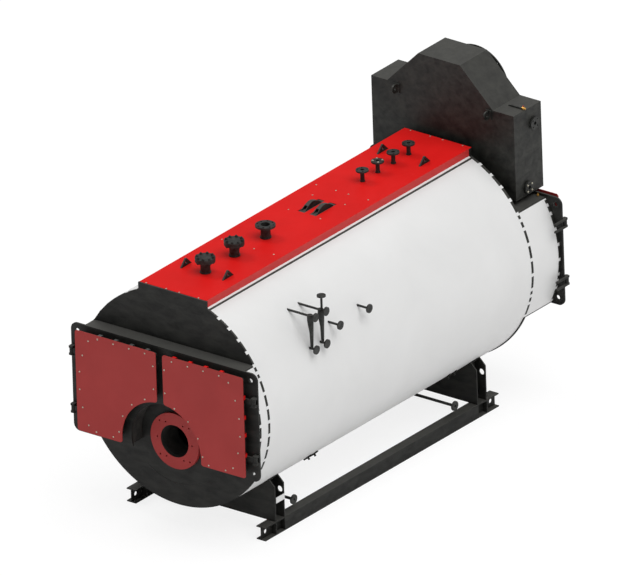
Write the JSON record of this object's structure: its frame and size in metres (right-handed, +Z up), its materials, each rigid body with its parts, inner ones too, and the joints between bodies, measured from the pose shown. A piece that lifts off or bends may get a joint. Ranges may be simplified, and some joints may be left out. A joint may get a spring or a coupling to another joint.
{
  "type": "horizontal shell boiler with economiser",
  "caption": "Horizontal fire-tube boiler: round jacketed drum on a beam base, hinged smokebox doors at both ends, burner flange, crown nozzles and a flue economiser.",
  "frame": {"origin": "on the floor under the middle of the whole boiler", "axes": "+X to the right seen from the burner end, +Y from the burner end to the flue end, +Z up"},
  "size_m": [2.766, 6.004, 3.897],
  "materials": {
    "jacket_white": "semi-gloss white sheet",
    "walkway_red": "bright red gloss paint",
    "door_red": "dark red satin paint",
    "black_paint": "heat resistant black paint",
    "boiler_plate": "dark rolled plate",
    "refractory": "cast refractory",
    "flange_black": "black painted pipework"
  },
  "bodies": {
    "boiler": {"pressure_shell": "boiler_plate", "drum_jacket": "jacket_white", "front_end_plate": "black_paint", "rear_end_plate": "black_paint", "front_tube_plate": "boiler_plate", "rear_tube_plate": "boiler_plate", "furnace_tube": "boiler_plate", "burner_throat": "refractory", "burner_flange": "door_red", "front_smokebox_casing": "black_paint", "rear_smokebox_casing": "black_paint", "front_smokebox_cladding": "jacket_white", "rear_smokebox_cladding": "jacket_white", "front_door_frame": "black_paint", "rear_door_frame": "black_paint", "front_hinge_brackets": "black_paint", "rear_hinge_brackets": "black_paint", "top_platform": "walkway_red", "platform_side_strips": "jacket_white", "jacket_seam_strips": "black_paint", "blind_nozzle_front": "flange_black", "blind_nozzle_rear": "flange_black", "steam_nozzle": "flange_black", "valve_nozzles": "flange_black", "lifting_lugs": "black_paint", "lifting_channels": "black_paint", "belly_cleats": "black_paint", "gauge_column_front": "flange_black", "gauge_column_rear": "flange_black", "level_stubs": "flange_black", "drain_pipes": "flange_black", "economiser_housing": "black_paint", "economiser_duct": "black_paint", "flue_outlet": "black_paint", "economiser_lugs": "black_paint", "economiser_connections": "flange_black", "base_beam_left": "black_paint", "base_beam_right": "black_paint", "saddle_front": "black_paint", "saddle_rear": "black_paint"},
    "front_door_left": {"front_door_left": "black_paint", "front_door_left_cover": "door_red", "front_door_left_straps": "black_paint"},
    "front_door_right": {"front_door_right": "black_paint", "front_door_right_cover": "door_red", "front_door_right_straps": "black_paint"},
    "rear_door_left": {"rear_door_left": "black_paint", "rear_door_left_cover": "door_red", "rear_door_left_straps": "black_paint"},
    "rear_door_right": {"rear_door_right": "black_paint", "rear_door_right_cover": "door_red", "rear_door_right_straps": "black_paint"}
  },
  "joints": [
    {"name": "front_door_left_hinge", "type": "hinge", "parent": "boiler", "child": "front_door_left", "pos_m": [-1.288, -2.939, 1.65], "axis": [0, 0, -1], "range_deg": [0, 110]},
    {"name": "front_door_right_hinge", "type": "hinge", "parent": "boiler", "child": "front_door_right", "pos_m": [1.288, -2.939, 1.65], "axis": [0, 0, 1], "range_deg": [0, 110]},
    {"name": "rear_door_left_hinge", "type": "hinge", "parent": "boiler", "child": "rear_door_left", "pos_m": [-1.355, 2.782, 1.65], "axis": [0, 0, 1], "range_deg": [0, 110]},
    {"name": "rear_door_right_hinge", "type": "hinge", "parent": "boiler", "child": "rear_door_right", "pos_m": [1.355, 2.782, 1.65], "axis": [0, 0, -1], "range_deg": [0, 110]}
  ]
}
